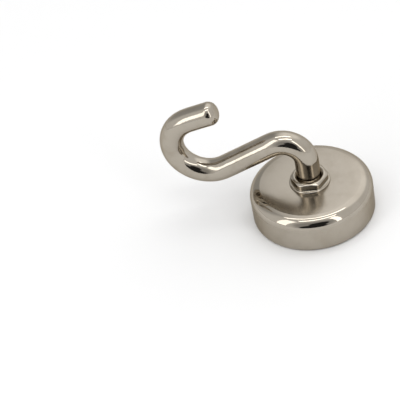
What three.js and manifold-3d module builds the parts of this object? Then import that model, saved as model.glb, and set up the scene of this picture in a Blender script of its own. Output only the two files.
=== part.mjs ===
// A small pot magnet with a screw-in wire hook.
//
// The magnet stands on its working face. The origin is the centre of that face, +Z runs up the
// pot's axis to the hook, and the hook reaches out along +X. All lengths are millimetres.

import * as THREE from "three";
import { mergeVertices } from "three/addons/utils/BufferGeometryUtils.js";
import Module from "manifold-3d";

// ---------------------------------------------------------------- driving dimensions

// Steel pot
const CUP_DIAMETER = 25;
const CUP_HEIGHT = 7.7;
const CUP_WALL = 1.7;
const CUP_BASE = 2.7;
const CUP_TOP_ROUND = 2.0;
const CUP_CEILING_ROUND = 0.4;
const RIM_OUTER_CHAMFER = 0.4;
const RIM_INNER_CHAMFER = 0.25;
const CUP_HOLE_CHAMFER = 0.3;

// Magnet disc and the ring cast round it
const RESIN_WIDTH = 1.6;
const RESIN_SETBACK = 1.0;
const MAGNET_CHAMFER = 0.45;

// Hook wire, before and after bending
const WIRE_DIAMETER = 4.85;
const THREAD_GROWTH = 0.15;
const THREAD_LEAD_IN = 0.5;
const STEM_END_GAP = 0.3;
const RELIEF_DEPTH = 0.35;
const RELIEF_LENGTH = 0.5;
const RELIEF_SLOPE = 0.3;
const TIP_ROUND = 1.65;

// Bends: the rise from the pot's top, the neck bend, the reach, the loop bend and the free end
const HOOK_RISE = 5.65;
const NECK_BEND_RADIUS = 4.4;
const NECK_BEND_ANGLE = 119;
const HOOK_REACH = 12.0;
const LOOP_BEND_RADIUS = 6.75;
const LOOP_BEND_ANGLE = 190;
const HOOK_END = 6.4;

// Lock nut
const NUT_WALL = 1.0;
const NUT_HEIGHT = 1.8;
const NUT_COUNTERSINK = 0.35;
const NUT_CORNER_CUT = 0.24;
const NUT_CHAMFER_WIDTH = 0.3;
const NUT_CHAMFER_ANGLE = 30;
const NUT_FLANGE_WIDTH = 0.65;
const NUT_FLANGE_HEIGHT = 0.32;
const NUT_FLANGE_CHAMFER = 0.15;
const NUT_TURN = 7;

// Fits
const THREAD_CLEARANCE = 0.05;

// Facets
const CUP_FACETS = 72;
const WIRE_FACETS = 28;
const BORE_FACETS = 56;
const ROUND_STEPS = 5;
const TIP_STEPS = 4;
const DEGREES_PER_BEND_STEP = 9;

// ---------------------------------------------------------------- sizes that follow

const cupRadius = CUP_DIAMETER / 2;
const boreRadius = cupRadius - CUP_WALL;
const ceilingHeight = CUP_HEIGHT - CUP_BASE;
const magnetRadius = boreRadius - RESIN_WIDTH;
const wireRadius = WIRE_DIAMETER / 2;
const threadRadius = wireRadius + THREAD_GROWTH / 2;
const threadedHoleRadius = threadRadius + THREAD_CLEARANCE;
const nutFlatRadius = threadRadius + NUT_WALL;
const nutTopHeight = CUP_HEIGHT + NUT_HEIGHT;

// ---------------------------------------------------------------- shared helpers

// Points of a round that joins two directions, both ends included.
function arcPoints(centreR, centreZ, radius, fromDegrees, toDegrees, steps) {
  const points = [];
  for (let i = 0; i <= steps; i++) {
    const angle = THREE.MathUtils.degToRad(fromDegrees + ((toDegrees - fromDegrees) * i) / steps);
    points.push([centreR + radius * Math.cos(angle), centreZ + radius * Math.sin(angle)]);
  }
  return points;
}

// Turns a profile of [radius, height] pairs about the Z axis.
function turned(profile, facets) {
  const points = profile.map(([r, z]) => new THREE.Vector2(r, z));
  const geometry = new THREE.LatheGeometry(points, facets);
  geometry.rotateX(Math.PI / 2);
  return geometry;
}

// A profile that doesn't reach the axis ends where it started.
function closedProfile(profile) {
  return [...profile, profile[0]];
}

const wasm = await Module();
wasm.setup();

// Geometry to manifold-3d solid and back, for cutting and joining.
function toSolid(geometry) {
  const bare = new THREE.BufferGeometry();
  bare.setAttribute("position", geometry.getAttribute("position"));
  bare.setIndex(geometry.getIndex());
  const merged = mergeVertices(bare);
  return new wasm.Manifold(
    new wasm.Mesh({
      numProp: 3,
      vertProperties: merged.getAttribute("position").array,
      triVerts: new Uint32Array(merged.getIndex().array),
    }),
  );
}

function toGeometry(solid) {
  const mesh = solid.getMesh();
  const geometry = new THREE.BufferGeometry();
  geometry.setAttribute("position", new THREE.BufferAttribute(mesh.vertProperties, mesh.numProp));
  geometry.setIndex(new THREE.BufferAttribute(mesh.triVerts, 1));
  geometry.computeVertexNormals();
  return geometry;
}

function part(name, geometry, material) {
  const mesh = new THREE.Mesh(geometry, material);
  mesh.name = name;
  return mesh;
}

// ---------------------------------------------------------------- materials

const cupNickel = new THREE.MeshStandardMaterial({ color: 0xb3aca1, roughness: 0.3, metalness: 1 });
const magnetNickel = new THREE.MeshStandardMaterial({ color: 0xaca69b, roughness: 0.5, metalness: 1 });
const castResin = new THREE.MeshStandardMaterial({ color: 0x64605a, roughness: 0.6, metalness: 0 });
const nutNickel = new THREE.MeshStandardMaterial({ color: 0xb5aea3, roughness: 0.2, metalness: 1 });
const hookNickel = new THREE.MeshStandardMaterial({ color: 0xb8b0a4, roughness: 0.12, metalness: 1 });

// ---------------------------------------------------------------- steel cup

// Pressed pot, open downwards: a rolled top edge outside, a threaded hole through the base.
function steelCup() {
  const holeRadius = threadedHoleRadius;
  const holeMouth = holeRadius + CUP_HOLE_CHAMFER;
  const profile = [
    [boreRadius + RIM_INNER_CHAMFER, 0],
    [cupRadius - RIM_OUTER_CHAMFER, 0],
    [cupRadius, RIM_OUTER_CHAMFER],
    ...arcPoints(cupRadius - CUP_TOP_ROUND, CUP_HEIGHT - CUP_TOP_ROUND, CUP_TOP_ROUND, 0, 90, ROUND_STEPS),
    [holeMouth, CUP_HEIGHT],
    [holeRadius, CUP_HEIGHT - CUP_HOLE_CHAMFER],
    [holeRadius, ceilingHeight + CUP_HOLE_CHAMFER],
    [holeMouth, ceilingHeight],
    [boreRadius - CUP_CEILING_ROUND, ceilingHeight],
    [boreRadius, ceilingHeight - CUP_CEILING_ROUND],
    [boreRadius, RIM_INNER_CHAMFER],
  ];
  return part("steel_cup", turned(closedProfile(profile), CUP_FACETS), cupNickel);
}

// ---------------------------------------------------------------- magnet disc

// Plated disc with its edges broken, seated against the pot's base and flush with the rim.
function magnetDisc() {
  const profile = [
    [0, 0],
    [magnetRadius - MAGNET_CHAMFER, 0],
    [magnetRadius, MAGNET_CHAMFER],
    [magnetRadius, ceilingHeight - MAGNET_CHAMFER],
    [magnetRadius - MAGNET_CHAMFER, ceilingHeight],
    [0, ceilingHeight],
  ];
  return part("magnet_disc", turned(profile, CUP_FACETS), magnetNickel);
}

// ---------------------------------------------------------------- potting resin

// Cast ring between disc and wall. It fills the corner round at the pot's ceiling and the disc's
// upper chamfer, and stops short of the rim.
function pottingResin() {
  const profile = [
    [magnetRadius, RESIN_SETBACK],
    [boreRadius, RESIN_SETBACK],
    [boreRadius, ceilingHeight - CUP_CEILING_ROUND],
    [boreRadius - CUP_CEILING_ROUND, ceilingHeight],
    [magnetRadius - MAGNET_CHAMFER, ceilingHeight],
    [magnetRadius, ceilingHeight - MAGNET_CHAMFER],
  ];
  return part("potting_resin", turned(closedProfile(profile), CUP_FACETS), castResin);
}

// ---------------------------------------------------------------- lock nut

// Thin hexagon nut on a low round flange. Its corners are turned off and chamfered at the top,
// the flange's top edge is chamfered, and a countersink opens the hole at both ends.
function lockNut() {
  const cornerRadius = nutFlatRadius / Math.cos(Math.PI / 6);
  const outline = new THREE.Shape();
  for (let i = 0; i < 6; i++) {
    const angle = (i * Math.PI) / 3;
    const x = cornerRadius * Math.cos(angle);
    const y = cornerRadius * Math.sin(angle);
    if (i === 0) outline.moveTo(x, y);
    else outline.lineTo(x, y);
  }
  outline.closePath();
  const bar = new THREE.ExtrudeGeometry(outline, { depth: NUT_HEIGHT, bevelEnabled: false });

  const topRadius = nutFlatRadius - NUT_CHAMFER_WIDTH;
  const turnedRadius = cornerRadius - NUT_CORNER_CUT;
  const flangeRadius = nutFlatRadius + NUT_FLANGE_WIDTH;
  const slope = Math.tan(THREE.MathUtils.degToRad(NUT_CHAMFER_ANGLE));
  const envelope = turned(
    [
      [0, 0],
      [turnedRadius, 0],
      [turnedRadius, NUT_HEIGHT - (turnedRadius - topRadius) * slope],
      [topRadius, NUT_HEIGHT],
      [0, NUT_HEIGHT],
    ],
    CUP_FACETS,
  );
  const flange = turned(
    [
      [0, 0],
      [flangeRadius, 0],
      [flangeRadius, NUT_FLANGE_HEIGHT - NUT_FLANGE_CHAMFER],
      [flangeRadius - NUT_FLANGE_CHAMFER, NUT_FLANGE_HEIGHT],
      [0, NUT_FLANGE_HEIGHT],
    ],
    CUP_FACETS,
  );

  const mouth = threadedHoleRadius + NUT_COUNTERSINK;
  const past = NUT_COUNTERSINK;
  const hole = turned(
    [
      [0, -past],
      [mouth + past, -past],
      [threadedHoleRadius, NUT_COUNTERSINK],
      [threadedHoleRadius, NUT_HEIGHT - NUT_COUNTERSINK],
      [mouth + past, NUT_HEIGHT + past],
      [0, NUT_HEIGHT + past],
    ],
    BORE_FACETS,
  );

  const body = toSolid(bar).intersect(toSolid(envelope)).add(toSolid(flange));
  const solid = body.subtract(toSolid(hole));
  const nut = part("lock_nut", toGeometry(solid), nutNickel);
  nut.position.z = CUP_HEIGHT;
  nut.rotation.z = THREE.MathUtils.degToRad(NUT_TURN);
  return nut;
}

// ---------------------------------------------------------------- hook

// The centreline in the XZ plane, from the threaded end to the tip. Headings turn from +Z to +X.
class HookLine extends THREE.Curve {
  constructor(startHeight, runs) {
    super();
    this.runs = [];
    this.length = 0;
    let x = 0;
    let z = startHeight;
    let heading = 0;
    for (const { length = 0, radius = 0, turn = 0 } of runs) {
      const angle = THREE.MathUtils.degToRad(turn);
      const run = { x, z, heading, radius: radius * Math.sign(angle), length: length || radius * Math.abs(angle) };
      this.runs.push({ ...run, start: this.length });
      const end = HookLine.along(run, run.length);
      x = end.x;
      z = end.z;
      heading = end.heading;
      this.length += run.length;
    }
  }

  // Place and heading at a distance along one straight or bend.
  static along(run, distance) {
    if (run.radius === 0) {
      return {
        x: run.x + distance * Math.sin(run.heading),
        z: run.z + distance * Math.cos(run.heading),
        heading: run.heading,
      };
    }
    const heading = run.heading + distance / run.radius;
    return {
      x: run.x + run.radius * (Math.cos(run.heading) - Math.cos(heading)),
      z: run.z + run.radius * (Math.sin(heading) - Math.sin(run.heading)),
      heading,
    };
  }

  at(distance) {
    const run = this.runs.findLast((r) => r.start <= distance) ?? this.runs[0];
    return HookLine.along(run, distance - run.start);
  }

  getPoint(t, target = new THREE.Vector3()) {
    const { x, z } = this.at(t * this.length);
    return target.set(x, 0, z);
  }
}

// Turned bar with a threaded foot and a rounded tip, then bent: each point of the straight bar
// keeps its place in the wire's section while the section follows the centreline.
function hook() {
  const footHeight = ceilingHeight + STEM_END_GAP;
  const line = new HookLine(footHeight, [
    { length: CUP_HEIGHT - footHeight + HOOK_RISE },
    { radius: NECK_BEND_RADIUS, turn: NECK_BEND_ANGLE },
    { length: HOOK_REACH },
    { radius: LOOP_BEND_RADIUS, turn: -LOOP_BEND_ANGLE },
    { length: HOOK_END },
  ]);

  const threadEnd = nutTopHeight - NUT_COUNTERSINK - footHeight;
  const reliefRadius = wireRadius - RELIEF_DEPTH;
  const profile = [
    [0, 0],
    [threadRadius - THREAD_LEAD_IN, 0],
    [threadRadius, THREAD_LEAD_IN],
    [threadRadius, threadEnd - RELIEF_SLOPE],
    [reliefRadius, threadEnd],
    [reliefRadius, threadEnd + RELIEF_LENGTH],
    [wireRadius, threadEnd + RELIEF_LENGTH + RELIEF_SLOPE],
  ];
  for (const run of line.runs) {
    if (run.radius === 0) continue;
    const steps = Math.ceil(
      THREE.MathUtils.radToDeg(run.length / Math.abs(run.radius)) / DEGREES_PER_BEND_STEP,
    );
    for (let i = 0; i <= steps; i++) profile.push([wireRadius, run.start + (run.length * i) / steps]);
  }
  profile.push(
    ...arcPoints(wireRadius - TIP_ROUND, line.length - TIP_ROUND, TIP_ROUND, 0, 90, TIP_STEPS),
    [0, line.length],
  );

  const geometry = turned(profile, WIRE_FACETS);
  const position = geometry.getAttribute("position");
  for (let i = 0; i < position.count; i++) {
    const { x, z, heading } = line.at(position.getZ(i));
    const side = position.getX(i);
    position.setXYZ(i, x + side * Math.cos(heading), position.getY(i), z - side * Math.sin(heading));
  }
  geometry.computeVertexNormals();
  return part("hook", geometry, hookNickel);
}

// ---------------------------------------------------------------- the whole magnet

const magnet = new THREE.Group();
magnet.name = "hook_magnet";
magnet.add(steelCup(), magnetDisc(), pottingResin(), lockNut(), hook());

export default magnet;
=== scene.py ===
# A small nickel-plated pot magnet with a wire hook screwed into its back and locked by a thin nut.

import math

import bmesh
import bpy
from mathutils import Matrix, Vector


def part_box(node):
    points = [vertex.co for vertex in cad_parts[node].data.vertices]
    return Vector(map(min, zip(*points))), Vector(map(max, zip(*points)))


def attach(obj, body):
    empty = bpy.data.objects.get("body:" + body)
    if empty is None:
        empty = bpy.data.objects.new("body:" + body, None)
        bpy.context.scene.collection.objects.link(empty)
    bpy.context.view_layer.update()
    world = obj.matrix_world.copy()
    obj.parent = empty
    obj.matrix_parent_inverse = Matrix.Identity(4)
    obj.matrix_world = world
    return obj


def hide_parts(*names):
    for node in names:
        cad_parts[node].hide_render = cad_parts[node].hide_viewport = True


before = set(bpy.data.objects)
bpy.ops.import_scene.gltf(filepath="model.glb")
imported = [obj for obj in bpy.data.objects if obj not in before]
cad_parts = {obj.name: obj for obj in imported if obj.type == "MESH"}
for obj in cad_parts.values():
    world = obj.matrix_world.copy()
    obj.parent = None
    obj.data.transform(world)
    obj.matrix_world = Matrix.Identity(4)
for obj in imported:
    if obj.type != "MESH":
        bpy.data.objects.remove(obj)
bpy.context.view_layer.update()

# ---------------------------------------------------------------------------- steel cup
# A pot pressed from mild steel: flat back, rolled top edge, straight wall and an open end whose
# rim is faced off. It is barrel polished, then nickel plated, so the flat back and the wall stay
# satin while the rolled edge comes out bright.

MM = 0.001
cup_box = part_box("steel_cup")
hair = 0.001  # keeps the round wall just inside the solid it stands for
cup_radius = cup_box[1][1] / MM - hair
cup_height = cup_box[1][2] / MM
cup_wall = 1.7
cup_base = 2.7
roll_width = 2.2
roll_slope = 12
roll_round = 1.7
roll_crease = 0.12
crown = 0.1
crown_start = 4.6
crown_cuts = 30
rim_chamfer = 0.4
mouth_chamfer = 0.25
hole_chamfer = 0.3
inner_corner = 0.4
bore_radius = cup_radius - cup_wall
ceiling = cup_height - cup_base
thread_hole = 2.55


def outline(corners, closed=True):
    """A wire in the XZ plane through (radius, height, corner rounding), in millimetres."""
    bm = bmesh.new()
    points = [bm.verts.new((r * MM, 0, z * MM)) for r, z, _ in corners]
    for a, b in zip(points, points[1:]):
        bm.edges.new((a, b))
    if closed:
        bm.edges.new((points[-1], points[0]))
    for point, (_, _, rounding) in zip(points, corners):
        if rounding:
            bmesh.ops.bevel(
                bm, geom=[point], offset=rounding * MM, offset_type="OFFSET", affect="VERTICES",
                segments=4 + round(10 * rounding), profile=0.5, material=-1,
            )
    # A short edge beside each corner keeps the shading of the long flats true.
    hold = 0.06 * MM
    for edge in [e for e in bm.edges if e.calc_length() > 5 * hold]:
        a, b = edge.verts
        _, split = bmesh.utils.edge_split(edge, a, hold / edge.calc_length())
        rest = next(e for e in split.link_edges if b in e.verts)
        bmesh.utils.edge_split(rest, b, hold / rest.calc_length())
    return bm


def spin_up(bm, steps=240):
    """Turns the outline about the magnet's axis."""
    bmesh.ops.spin(
        bm, geom=bm.verts[:] + bm.edges[:], cent=(0, 0, 0), axis=(0, 0, 1), dvec=(0, 0, 0),
        angle=2 * math.pi, steps=steps, use_merge=True, use_duplicate=False,
    )
    return bm


def place(bm, node, body, material):
    """Closes the skin, faces it outwards and lets it stand for its solid."""
    bmesh.ops.remove_doubles(bm, verts=bm.verts[:], dist=0.002 * MM)
    bmesh.ops.recalc_face_normals(bm, faces=bm.faces[:])
    for face in bm.faces:
        face.smooth = True
    mesh = bpy.data.meshes.new(node + "_skin")
    bm.to_mesh(mesh)
    bm.free()
    mesh.materials.append(material)
    piece = bpy.data.objects.new(node + "_skin", mesh)
    bpy.context.collection.objects.link(piece)
    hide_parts(node)
    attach(piece, body)
    return piece


class Number:
    """A shader value that changes over a surface, with its arithmetic as Math nodes."""

    def __init__(self, finish, socket):
        self.finish = finish
        self.socket = socket

    def math(self, operation, a, b):
        made = self.finish.node("ShaderNodeMath", {"operation": operation}, {0: a, 1: b})
        return Number(self.finish, made.outputs[0])

    def __add__(self, other):
        return self.math("ADD", self, other)

    def __sub__(self, other):
        return self.math("SUBTRACT", self, other)

    def __rsub__(self, other):
        return self.math("SUBTRACT", other, self)

    def __mul__(self, other):
        return self.math("MULTIPLY", self, other)

    __radd__ = __add__
    __rmul__ = __mul__


class Finish:
    """A surface finish: one material and the nodes that make it."""

    def __init__(self, name):
        self.material = bpy.data.materials.new(name)
        self.material.use_nodes = True
        self.tree = self.material.node_tree
        self.shader = self.tree.nodes["Principled BSDF"]
        self.place = self.node("ShaderNodeTexCoord").outputs["Object"]

    def node(self, kind, settings=None, sockets=None):
        made = self.tree.nodes.new(kind)
        for key, value in (settings or {}).items():
            setattr(made, key, value)
        for key, value in (sockets or {}).items():
            self.feed(made.inputs[key], value)
        return made

    def feed(self, socket, value):
        if isinstance(value, Number):
            value = value.socket
        if isinstance(value, bpy.types.NodeSocket):
            self.tree.links.new(value, socket)
        else:
            socket.default_value = value

    def noise(self, size, detail=3, roughness=0.55, stretch=(1, 1, 1)):
        """Cloudy noise with lumps of that size in millimetres, centred on 0.5."""
        spot = self.place
        if stretch != (1, 1, 1):
            scaled = self.node("ShaderNodeMapping", None, {"Vector": spot, "Scale": stretch})
            spot = scaled.outputs[0]
        made = self.node(
            "ShaderNodeTexNoise", None,
            {"Vector": spot, "Scale": 1 / (size * MM), "Detail": detail, "Roughness": roughness},
        )
        return Number(self, made.outputs["Fac"])

    def ramp(self, value, start, end, low=0.0, high=1.0):
        """A smooth step from low at start to high at end."""
        made = self.node(
            "ShaderNodeMapRange", {"interpolation_type": "SMOOTHSTEP"},
            {"Value": value, "From Min": start, "From Max": end, "To Min": low, "To Max": high},
        )
        return Number(self, made.outputs[0])

    def height(self):
        made = self.node("ShaderNodeSeparateXYZ", None, {0: self.place})
        return Number(self, made.outputs["Z"])

    def radius(self):
        flat = self.node(
            "ShaderNodeVectorMath", {"operation": "MULTIPLY"}, {0: self.place, 1: (1, 1, 0)}
        )
        made = self.node("ShaderNodeVectorMath", {"operation": "LENGTH"}, {0: flat.outputs[0]})
        return Number(self, made.outputs["Value"])

    def blend(self, amount, first, second):
        made = self.node("ShaderNodeMix", {"data_type": "RGBA"}, {0: amount, 6: first, 7: second})
        return made.outputs[2]

    def relief(self, *layers):
        """Bump layers of (height value, depth in millimetres), one over another."""
        normal = None
        for value, depth in layers:
            sockets = {"Height": value, "Strength": 1.0, "Distance": depth * MM}
            if normal is not None:
                sockets["Normal"] = normal
            normal = self.node("ShaderNodeBump", None, sockets).outputs[0]
        self.feed(self.shader.inputs["Normal"], normal)

    def set(self, **values):
        for key, value in values.items():
            self.feed(self.shader.inputs[key.replace("_", " ")], value)


# Nickel shades: fresh plate, the slightly browner plate where it is thin or handled, and the tint
# it takes at a glancing angle.
nickel = (0.42, 0.38, 0.322, 1)
nickel_dull = (0.37, 0.33, 0.272, 1)
edge_tint = (0.55, 0.51, 0.45, 1)

cup_finish = Finish("satin_cup_plate")
r = cup_finish.radius()
z = cup_finish.height()
cloud = cup_finish.noise(5.0, detail=4)
grain = cup_finish.noise(0.16, detail=2)
fine = cup_finish.noise(0.9, detail=3)
crease_radius = cup_radius - roll_width
on_roll = cup_finish.ramp(r, (crease_radius - 0.05) * MM, (crease_radius + 0.05) * MM)
on_roll = on_roll * cup_finish.ramp(z, (cup_height - 2.3) * MM, (cup_height - 1.7) * MM)
satin = 0.2 + 0.1 * cup_finish.ramp(z, (cup_height - 1.0) * MM, (cup_height - 2.6) * MM)
rubbed = cup_finish.ramp(z, 0.7 * MM, 0.1 * MM) * cup_finish.ramp(fine, 0.35, 0.6)
scuffs = cup_finish.ramp(cup_finish.noise(0.5, detail=5, roughness=0.75), 0.58, 0.72)
drawn = cup_finish.noise(1.6, detail=3, stretch=(0.4, 0.4, 9))
rough = satin * (1 - on_roll) + 0.055 * on_roll + 0.06 * (cloud - 0.5) + 0.04 * (grain - 0.5)
rough = rough + 0.08 * rubbed + 0.05 * scuffs + 0.05 * (drawn - 0.5)
cup_finish.set(
    Base_Color=cup_finish.blend(
        cup_finish.ramp(cloud, 0.38, 0.72) * 0.8 + 0.5 * rubbed, nickel, nickel_dull
    ),
    Metallic=1.0,
    Roughness=rough,
    Specular_Tint=edge_tint,
)
cup_finish.relief(
    (cup_finish.noise(2.6, detail=2), 0.012), (fine, 0.0025), (drawn, 0.0015), (grain, 0.0006)
)

fall = math.tan(math.radians(roll_slope))
cup = outline([
    (bore_radius + mouth_chamfer, 0, 0.06),
    (cup_radius - rim_chamfer, 0, 0.1),
    (cup_radius, rim_chamfer, 0.15),
    (cup_radius, cup_height - crown - roll_width * fall, roll_round),
    (crease_radius, cup_height - crown, roll_crease),
    (crown_start, cup_height, 0),
    (thread_hole + hole_chamfer, cup_height, 0.05),
    (thread_hole, cup_height - hole_chamfer, 0),
    (thread_hole, ceiling + hole_chamfer, 0),
    (thread_hole + hole_chamfer, ceiling, 0),
    (bore_radius, ceiling, inner_corner),
    (bore_radius, mouth_chamfer, 0.06),
])
# Pressing leaves the back very slightly crowned towards its edge.
back = [
    e for e in cup.edges
    if min(v.co.z for v in e.verts) > (cup_height - crown - 0.01) * MM
    and min(v.co.x for v in e.verts) > (crown_start - 0.01) * MM
    and e.calc_length() > 1 * MM
]
bmesh.ops.subdivide_edges(cup, edges=back, cuts=crown_cuts)
span = crease_radius - crown_start
for point in cup.verts:
    across = (point.co.x / MM - crown_start) / span
    straight = cup_height - crown * across
    if 0 < across < 1 and abs(point.co.z / MM - straight) < 0.02:
        point.co.z = (cup_height - crown * across**3) * MM
place(spin_up(cup), "steel_cup", "pot", cup_finish.material)

# ---------------------------------------------------------------------------- magnet disc
# A sintered neodymium disc with broken edges, tumbled and plated dull nickel. It sits against the
# pot's ceiling, held by its own pull and by the resin, and its face is level with the rim.

magnet_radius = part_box("magnet_disc")[1][0] / MM
edge_break = 0.45
edge_round = 0.1

magnet_finish = Finish("dull_magnet_plate")
cloud = magnet_finish.noise(3.2, detail=4)
grain = magnet_finish.noise(0.12, detail=2)
r = magnet_finish.radius()
face_radius = magnet_radius - edge_break
on_edge = magnet_finish.ramp(r, (face_radius - 0.08) * MM, face_radius * MM)
magnet_finish.set(
    Base_Color=magnet_finish.blend(magnet_finish.ramp(cloud, 0.35, 0.75), nickel, nickel_dull),
    Metallic=1.0,
    Roughness=0.42 + 0.08 * (cloud - 0.5) + 0.1 * (grain - 0.5) - 0.2 * on_edge,
    Specular_Tint=edge_tint,
)
magnet_finish.relief((cloud, 0.004), (grain, 0.0015))

disc = outline([
    (0, 0, 0),
    (face_radius, 0, edge_round),
    (magnet_radius, edge_break, edge_round),
    (magnet_radius, ceiling - edge_break, edge_round),
    (face_radius, ceiling, edge_round),
    (0, ceiling, 0),
], closed=False)
place(spin_up(disc), "magnet_disc", "pot", magnet_finish.material)

# ---------------------------------------------------------------------------- potting resin
# Filled epoxy poured round the disc. It sets dull grey-brown, wets the wall and the disc, and
# sinks a little between them, so its face is a shallow trough with a few lumps.

resin_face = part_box("potting_resin")[0][2] / MM
wetted = 0.02
trough = 0.14

resin_finish = Finish("grey_resin")
cloud = resin_finish.noise(1.8, detail=5)
grain = resin_finish.noise(0.1, detail=3)
resin_finish.set(
    Base_Color=resin_finish.blend(
        resin_finish.ramp(cloud, 0.3, 0.7), (0.13, 0.115, 0.095, 1), (0.19, 0.17, 0.145, 1)
    ),
    Metallic=0.0,
    Roughness=0.5 + 0.2 * (cloud - 0.5) + 0.1 * (grain - 0.5),
)
resin_finish.relief((cloud, 0.04), (grain, 0.006))

middle = (magnet_radius + bore_radius) / 2
resin = outline([
    (magnet_radius - wetted, resin_face, 0),
    (middle, resin_face + trough, 0.5),
    (bore_radius + wetted, resin_face, 0),
    (bore_radius + wetted, ceiling - inner_corner, 0),
    (bore_radius - inner_corner, ceiling, 0),
    (face_radius, ceiling, 0),
    (magnet_radius - wetted, ceiling - edge_break, 0),
])
place(spin_up(resin), "potting_resin", "pot", resin_finish.material)

# ---------------------------------------------------------------------------- lock nut
# A thin hexagon nut on a round flange, run down the hook's thread onto the cup's back. Its corners
# are turned off and chamfered, and barrel plating has softened every edge.

nut_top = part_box("lock_nut")[1][2] / MM
nut_seat = cup_height + 2 * hair
nut_flat = 3.5
nut_turn = 7
countersink = 0.35
nut_mouth = thread_hole + countersink
nut_shoulder = nut_flat - 0.3
turned_radius = 3.8
shoulder_angle = math.radians(30)
shoulder_round = 0.12
flange_radius = nut_flat + 0.65
flange_height = 0.32
flange_rise = 0.02
edge_softness = 0.08
longest_edge = 0.12

nut_finish = Finish("bright_nut_plate")
cloud = nut_finish.noise(1.6, detail=3)
grain = nut_finish.noise(0.12, detail=2)
nut_finish.set(
    Base_Color=nut_finish.blend(nut_finish.ramp(cloud, 0.35, 0.75), nickel, nickel_dull),
    Metallic=1.0,
    Roughness=0.17 + 0.1 * (cloud - 0.5) + 0.05 * (grain - 0.5),
    Specular_Tint=edge_tint,
)
nut_finish.relief((cloud, 0.01), (grain, 0.0015))

shoulder_height = nut_top - (turned_radius - nut_shoulder) * math.tan(shoulder_angle)
flange_top = nut_seat + flange_height + flange_rise
nut = outline([
    (nut_mouth, nut_top, 0.05),
    (nut_shoulder, nut_top, shoulder_round),
    (turned_radius, shoulder_height, shoulder_round),
    (turned_radius, flange_top, 0),
    (flange_radius, nut_seat + flange_height, 0.2),
    (flange_radius, nut_seat, 0.06),
    (nut_mouth, nut_seat, 0),
    (thread_hole, nut_seat + countersink, 0),
    (thread_hole, nut_top - countersink, 0),
])
for _ in range(3):
    long_edges = [e for e in nut.edges if e.calc_length() > longest_edge * MM]
    bmesh.ops.subdivide_edges(nut, edges=long_edges, cuts=1)
spin_up(nut)
# The flats are pressed into the turned blank above the flange, with softened corners.
hexagon = [
    point for point in nut.verts
    if point.co.z > (flange_top - hair) * MM and point.co.xy.length < (turned_radius + hair) * MM
]
for i in range(6):
    across = math.radians(nut_turn + 30 + 60 * i)
    facing = Vector((math.cos(across), math.sin(across), 0))
    for point in hexagon:
        past = (point.co.dot(facing) - nut_flat * MM) / (edge_softness * MM)
        if past > -8:
            point.co -= facing * math.log1p(math.exp(past)) * edge_softness * MM
place(nut, "lock_nut", "nut", nut_finish.material)

# ---------------------------------------------------------------------------- hook
# One length of steel wire, its foot threaded and relieved under the nut's mouth, its tip ground
# to a blunt point, then bent cold round two pins and polished before plating.

wire_radius = 2.42
thread_radius = 2.5
thread_lead = 0.5
relief_radius = wire_radius - 0.35
relief_taper = 0.3
relief_length = 0.5
rise = 5.63
neck_radius = 4.34
neck_angle = math.radians(119)
reach = 12.0
loop_radius = 6.71
loop_angle = math.radians(190)
end = 6.4
tip_round = 1.65
foot = ceiling + 0.3

hook_finish = Finish("polished_hook_plate")
cloud = hook_finish.noise(3.0, detail=3)
grain = hook_finish.noise(0.14, detail=2)
ripple = hook_finish.noise(1.1, detail=2)
rub = hook_finish.ramp(hook_finish.noise(0.35, detail=4, roughness=0.7), 0.56, 0.74)
hook_finish.set(
    Base_Color=hook_finish.blend(hook_finish.ramp(cloud, 0.4, 0.75), nickel, nickel_dull),
    Metallic=1.0,
    Roughness=0.075 + 0.07 * (cloud - 0.5) + 0.04 * (grain - 0.5) + 0.05 * rub,
    Specular_Tint=edge_tint,
)
hook_finish.relief((cloud, 0.03), (ripple, 0.011), (grain, 0.001))


class Bar:
    """A round bar grown ring by ring from its foot, as drawing and bending would leave it."""

    def __init__(self, height, radius, segments=64):
        self.bm = bmesh.new()
        made = bmesh.ops.create_circle(
            self.bm, cap_ends=True, segments=segments, radius=radius * MM,
            matrix=Matrix.Translation((0, 0, height * MM)),
        )
        self.points = made["verts"]
        self.edges = list({e for v in self.points for e in v.link_edges})
        self.middle = Vector((0, 0, height * MM))
        self.heading = 0.0
        self.radius = radius

    def draw(self, length, radius=None, turn=0.0):
        """Adds that length, tapering to a radius or turning towards +X as it goes."""
        made = bmesh.ops.extrude_edge_only(self.bm, edges=self.edges)["geom"]
        self.points = [v for v in made if isinstance(v, bmesh.types.BMVert)]
        new = set(self.points)
        self.edges = [e for e in made if isinstance(e, bmesh.types.BMEdge) and set(e.verts) <= new]
        along = self.heading + turn / 2
        step = Vector((math.sin(along), 0, math.cos(along))) * length * MM
        bmesh.ops.translate(self.bm, vec=step, verts=self.points)
        self.middle += step
        self.heading += turn
        bmesh.ops.rotate(
            self.bm, cent=self.middle, matrix=Matrix.Rotation(turn, 3, "Y"), verts=self.points
        )
        if radius is not None:
            bmesh.ops.scale(
                self.bm, vec=Vector((1, 1, 1)) * radius / self.radius,
                space=Matrix.Translation(-self.middle), verts=self.points,
            )
            self.radius = radius


bar = Bar(foot, thread_radius - thread_lead)
thread_end = nut_top - countersink - foot
bar.draw(thread_lead, thread_radius)
bar.draw(thread_end - thread_lead - relief_taper)
bar.draw(relief_taper, relief_radius)
bar.draw(relief_length)
bar.draw(relief_taper, wire_radius)
stem = cup_height + rise - foot - thread_end - relief_length - relief_taper

# The wire springs back a little where it leaves each pin, so a bend starts and ends gradually.
runs = [
    (stem, 0), (neck_radius * neck_angle, 1 / neck_radius), (reach, 0),
    (loop_radius * loop_angle, -1 / loop_radius), (end - tip_round, 0),
]
easing = 2.4


def bending(at):
    """The bar's bend at a length from the stem's foot, spread over the easing length."""
    total, start = 0, 0
    for length, curve in runs:
        low, high = max(start, at - easing / 2), min(start + length, at + easing / 2)
        total += curve * max(high - low, 0) / easing
        start += length
    return total


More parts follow.
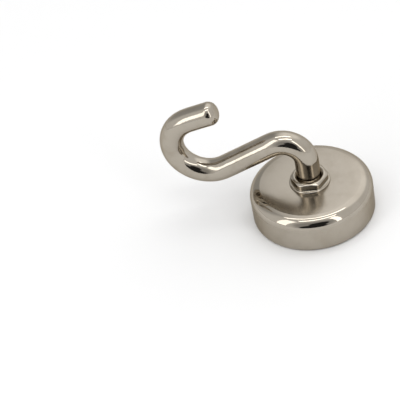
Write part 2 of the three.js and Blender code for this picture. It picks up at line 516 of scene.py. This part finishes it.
wire_length = sum(length for length, _ in runs)
rings = 220
for i in range(rings):
    step = wire_length / rings
    bar.draw(step, turn=step * bending((i + 0.5) * step))

# The tip is rounded over to a small blunt face, which polishing leaves a shade domed.
tip_steps = 18
blunt = wire_radius - tip_round
drawn_out = 0
for i in range(1, tip_steps + 1):
    over = math.radians(90 * i / tip_steps)
    bar.draw(tip_round * math.sin(over) - drawn_out, blunt + tip_round * math.cos(over))
    drawn_out = tip_round * math.sin(over)
for dome, share in ((0.012, 0.6), (0.004, 0.2)):
    bar.draw(dome, blunt * share)
bmesh.ops.contextual_create(bar.bm, geom=bar.edges)
place(bar.bm, "hook", "hook", hook_finish.material)

# ---------------------------------------------------------------------------- floor, light, camera
# A plain pale table in a white tent: two long lights overhead, a tall box on each side of the
# camera, and a dim gap in the tent behind the camera.

camera_spot = Vector((-50.836, 207.295, 192.752)) * MM
camera_turn = [math.radians(a) for a in (48.417, 9.693, -168.692)]

table = bmesh.new()
bmesh.ops.create_grid(table, x_segments=1, y_segments=1, size=3.0)
table_mesh = bpy.data.meshes.new("table")
table.to_mesh(table_mesh)
table.free()
floor = bpy.data.objects.new("table", table_mesh)
bpy.context.collection.objects.link(floor)
table_finish = Finish("table_white")
table_finish.set(Base_Color=(0.86, 0.86, 0.86, 1), Roughness=0.9)
table_mesh.materials.append(table_finish.material)


def toward(compass, lift):
    """A unit vector at that compass bearing and lift above the table, in degrees."""
    c, e = math.radians(compass), math.radians(lift)
    return Vector((math.cos(c) * math.cos(e), math.sin(c) * math.cos(e), math.sin(e)))


def softbox(name, compass, lift, wide, tall, brightness, distance=0.7):
    """A diffused box that looks so many degrees wide and tall from the magnet."""
    lamp = bpy.data.lights.new(name, "AREA")
    lamp.shape = "RECTANGLE"
    lamp.size = 2 * distance * math.tan(math.radians(wide / 2))
    lamp.size_y = 2 * distance * math.tan(math.radians(tall / 2))
    lamp.energy = brightness * math.pi * lamp.size * lamp.size_y
    box = bpy.data.objects.new(name, lamp)
    box.location = toward(compass, lift) * distance
    box.rotation_euler = (-toward(compass, lift)).to_track_quat("-Z", "Y").to_euler()
    box.visible_camera = False
    bpy.context.collection.objects.link(box)


softbox("overhead_front", 110, 76, 40, 8, 3.2)
softbox("overhead_back", -70, 79, 44, 7, 3.2)
softbox("left_box", 44, 33, 17, 50, 1.9)
softbox("right_box", 142, 32, 9, 56, 2.2)

world = bpy.data.worlds.new("tent")
bpy.context.scene.world = world
world.use_nodes = True


class Tent(Finish):
    """The white tent round the table, painted by direction."""

    def __init__(self, world):
        self.tree = world.node_tree
        self.shader = self.tree.nodes["Background"]
        self.place = self.node("ShaderNodeTexCoord").outputs["Generated"]

    def spot(self, compass, lift, inner, outer):
        """1 within so many degrees of a direction, fading to 0 at the outer angle."""
        made = self.node(
            "ShaderNodeVectorMath", {"operation": "DOT_PRODUCT"},
            {0: self.place, 1: toward(compass, lift)},
        )
        edge = [math.cos(math.radians(a)) for a in (outer, inner)]
        return self.ramp(Number(self, made.outputs["Value"]), *edge)


tent = Tent(world)
upper_gap = tent.spot(108, 29, 14, 18)
lower_gap = tent.spot(98, 4, 21, 25)
gap = 1 - (1 - upper_gap) * (1 - lower_gap)
shade = tent.spot(100, 24, 24, 42)
dim_side = tent.spot(-38, 35, 14, 40)
bright_side = tent.spot(-104, 54, 14, 38)
seen = Number(tent, tent.node("ShaderNodeLightPath").outputs["Is Camera Ray"])
glow = 0.92 - 0.42 * dim_side + 0.5 * bright_side - 0.45 * shade
glow = glow * (1 - gap) + 0.03 * gap
backdrop = 0.93
tent.set(Color=(1, 1, 1, 1), Strength=glow * (1 - seen) + backdrop * seen)

lens = bpy.data.cameras.new("camera")
lens.lens = 126
lens.sensor_width = 36
lens.clip_start = 0.01
lens.clip_end = 10
camera = bpy.data.objects.new("camera", lens)
camera.location = camera_spot
camera.rotation_euler = camera_turn
bpy.context.collection.objects.link(camera)
bpy.context.scene.camera = camera
bpy.context.scene.view_settings.view_transform = "Standard"
